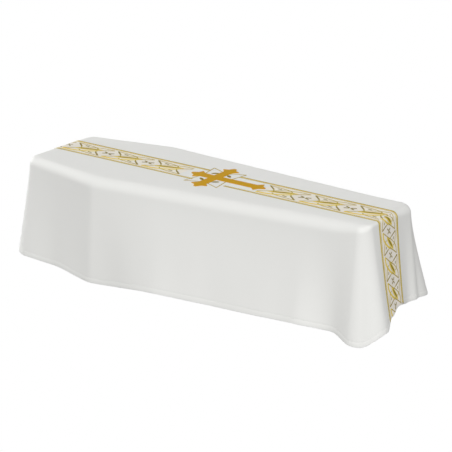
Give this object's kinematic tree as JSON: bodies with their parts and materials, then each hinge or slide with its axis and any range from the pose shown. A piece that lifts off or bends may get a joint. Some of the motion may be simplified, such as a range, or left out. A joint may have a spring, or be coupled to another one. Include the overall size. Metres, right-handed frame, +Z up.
{
  "type": "funeral pall",
  "caption": "Draped white funeral pall with a gold border down its middle and a gold Latin cross, hanging as a hollow cover with soft corner folds.",
  "frame": {"origin": "middle of the underside of the flat top, where the cloth lies on what it covers", "axes": "+X towards the foot end along the length, +Y towards the far long side, +Z up"},
  "size_m": [2.1811, 0.8179, 0.5671],
  "materials": {
    "white_brocade": "fine satin-faced weave, soft sheen",
    "gold_braid": "flat metallic thread braid",
    "gold_cloth": "gold lame, satin stitched edge"
  },
  "bodies": {
    "root": {"pall_cloth": "white_brocade", "braid_near_head": "gold_braid", "braid_near_foot": "gold_braid", "braid_far_head": "gold_braid", "braid_far_foot": "gold_braid", "cross": "gold_cloth"}
  },
  "joints": []
}
